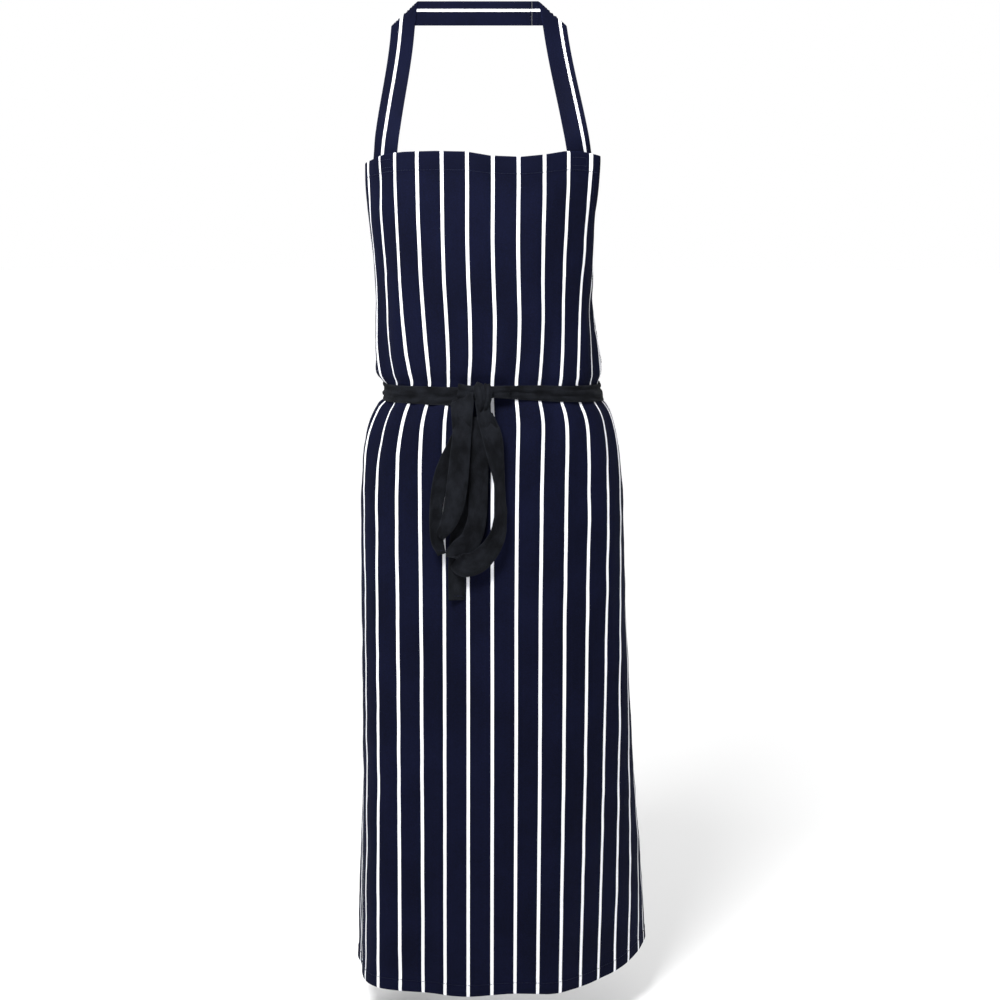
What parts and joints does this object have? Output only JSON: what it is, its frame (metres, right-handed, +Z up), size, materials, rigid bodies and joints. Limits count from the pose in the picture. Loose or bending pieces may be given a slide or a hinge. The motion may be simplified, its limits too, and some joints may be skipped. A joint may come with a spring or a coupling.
{
  "type": "butcher apron",
  "caption": "Full-length bib apron in navy cloth with fine white vertical stripes, a self-cloth neck strap and long dark ties that wrap the waist and tie in a front bow.",
  "frame": {"origin": "on the nape bar of the neck strap, at the wearer's mid-line, where the apron hangs from the neck or a peg", "axes": "+X to the viewer's right as the apron is seen from the front, +Y away from that viewer, towards the wearer's back, +Z up"},
  "size_m": [0.3536, 0.2066, 1.1405],
  "materials": {
    "panel_cloth": "matte",
    "strap_cloth": "matte",
    "tie_tape": "matte",
    "dark_thread": "matte"
  },
  "bodies": {
    "strap": {"neck_strap": "strap_cloth", "neck_strap_seam": "dark_thread"},
    "bib": {"bib_panel": "panel_cloth", "strap_end_left": "strap_cloth", "strap_end_right": "strap_cloth", "waist_tie_left": "tie_tape", "waist_tie_right": "tie_tape", "bow_knot": "tie_tape", "top_hem_seam": "dark_thread", "armhole_seam_left": "dark_thread", "armhole_seam_right": "dark_thread", "strap_bartack_left": "dark_thread", "strap_bartack_right": "dark_thread", "tie_bartack_left": "dark_thread", "tie_bartack_right": "dark_thread"},
    "skirt": {"skirt_panel": "panel_cloth", "bottom_hem_seam": "dark_thread", "side_seam_left": "dark_thread", "side_seam_right": "dark_thread"},
    "tails": {"tie_tail_left": "tie_tape", "tie_tail_right": "tie_tape", "tail_seam_left": "dark_thread", "tail_seam_right": "dark_thread"},
    "loop_left": {"bow_loop_left": "tie_tape"},
    "loop_right": {"bow_loop_right": "tie_tape"}
  },
  "joints": [
    {"name": "bib_swing", "type": "hinge", "parent": "strap", "child": "bib", "pos_m": [-0.0077, -0.122, -0.161], "axis": [0.9993, -0.0378, 0], "range_deg": [0, 20]},
    {"name": "skirt_swing", "type": "hinge", "parent": "bib", "child": "skirt", "pos_m": [0, -0.162, -0.451], "axis": [1, 0, 0], "range_deg": [-55, 0]},
    {"name": "tails_lift", "type": "hinge", "parent": "skirt", "child": "tails", "pos_m": [0, -0.162, -0.451], "axis": [1, 0, 0], "range_deg": [-40, 0]},
    {"name": "loop_left_lift", "type": "hinge", "parent": "tails", "child": "loop_left", "pos_m": [0, -0.162, -0.451], "axis": [1, 0, 0], "range_deg": [-35, 0]},
    {"name": "loop_right_lift", "type": "hinge", "parent": "tails", "child": "loop_right", "pos_m": [0, -0.162, -0.451], "axis": [1, 0, 0], "range_deg": [-35, 0]}
  ]
}
